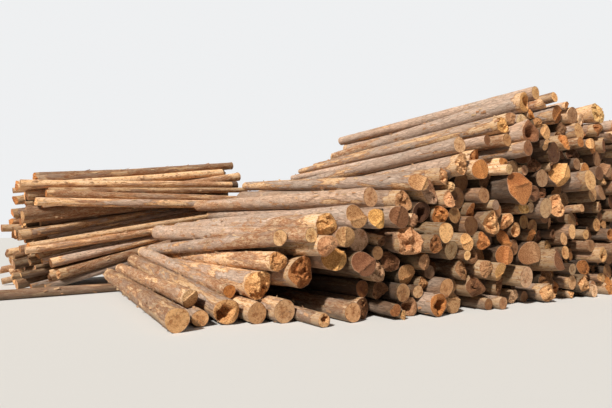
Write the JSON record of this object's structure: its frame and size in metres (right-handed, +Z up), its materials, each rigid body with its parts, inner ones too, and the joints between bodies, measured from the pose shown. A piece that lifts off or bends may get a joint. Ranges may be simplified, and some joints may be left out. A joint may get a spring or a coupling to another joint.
{
  "type": "log stack",
  "caption": "Roadside stack of long round pine logs with a sloping end, loose toe logs and a lower adjoining heap of thin poles",
  "frame": {"origin": "centre of the bounding box at ground level", "axes": "+X along the face of cut ends from the low toe to the high end, +Y along the main logs from the cut ends to the back, +Z up"},
  "size_m": [14.3568, 10.2272, 4.0692],
  "materials": {
    "bark": "rough weathered pine bark"
  },
  "bodies": {
    "root": {"course_01": "bark", "course_02": "bark", "course_03": "bark", "course_04": "bark", "course_05": "bark", "course_06": "bark", "course_07": "bark", "course_08": "bark", "course_09": "bark", "course_10": "bark", "course_11": "bark", "course_12": "bark", "heap_02": "bark", "heap_03": "bark", "heap_04": "bark", "heap_05": "bark", "heap_06": "bark", "heap_07": "bark", "heap_08": "bark", "heap_09": "bark", "rear_bearers": "bark", "skid_pole": "bark", "slope_logs": "bark", "toe_logs": "bark", "top_logs": "bark"}
  },
  "joints": []
}
